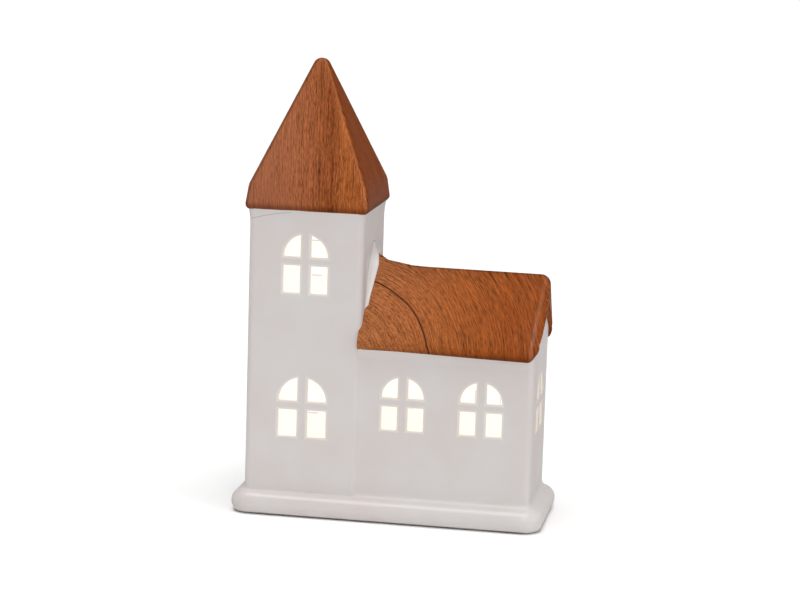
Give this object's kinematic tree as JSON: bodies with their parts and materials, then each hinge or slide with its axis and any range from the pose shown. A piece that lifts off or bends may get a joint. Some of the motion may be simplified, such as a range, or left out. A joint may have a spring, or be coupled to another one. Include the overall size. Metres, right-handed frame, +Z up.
{
  "type": "ceramic christmas village house",
  "caption": "Glazed white village church with a wood-grained spire and nave roof, arched barred windows, a hollow body and a light module in its base.",
  "frame": {"origin": "middle of the base rim's footprint, on the surface the pads rest on", "axes": "+X from the tower to the nave's gable, +Y from the front to the back, +Z up"},
  "size_m": [0.1528, 0.0668, 0.22],
  "materials": {
    "white_glaze": "glossy white glaze, pooled softly in the corners",
    "wood_film": "satin printed wood grain film",
    "pad_soft": "matte, slightly clear",
    "glue": "satin, milky",
    "module_plastic": "fine moulded texture",
    "screw_steel": "plated",
    "cell_steel": "satin",
    "cell_cap": "satin",
    "cell_sleeve": "glossy, plain",
    "contact_steel": "bright plated",
    "board_green": "satin solder mask",
    "resistor_body": "lacquered",
    "tinned_wire": "tinned",
    "lamp_lens": "clear, lit warm white",
    "knob_black": "matte",
    "pin_brass": "tinned brass",
    "wire_red": "soft insulation"
  },
  "bodies": {
    "house": {"ceramic_house": "white_glaze", "tower_roof_film": "wood_film", "nave_roof_film": "wood_film", "foot_pads": "pad_soft", "glue_dabs": "glue", "module_case": "module_plastic", "module_cap": "module_plastic", "cap_screws": "screw_steel", "cell_cans": "cell_steel", "cell_caps": "cell_cap", "cell_sleeves": "cell_sleeve", "contact_bridge": "contact_steel", "contact_positive": "contact_steel", "contact_negative": "contact_steel", "contact_springs": "contact_steel", "circuit_board": "board_green", "resistor": "resistor_body", "resistor_leads": "tinned_wire", "tower_lamp": "lamp_lens", "nave_lamp": "lamp_lens", "lamp_leads": "tinned_wire", "solder_joints": "tinned_wire", "switch_body": "screw_steel", "switch_pins": "pin_brass", "switch_wires": "wire_red"},
    "battery_door": {"battery_door": "module_plastic"},
    "switch_knob": {"switch_knob": "knob_black"}
  },
  "joints": [
    {"name": "battery_door_hinge", "type": "hinge", "parent": "house", "child": "battery_door", "pos_m": [-0.04047, 0, 0.0034], "axis": [0, 1, 0], "range_deg": [0, 95]},
    {"name": "switch_slide", "type": "slide", "parent": "house", "child": "switch_knob", "axis": [1, 0, 0], "range_m": [0, 0.002]}
  ]
}
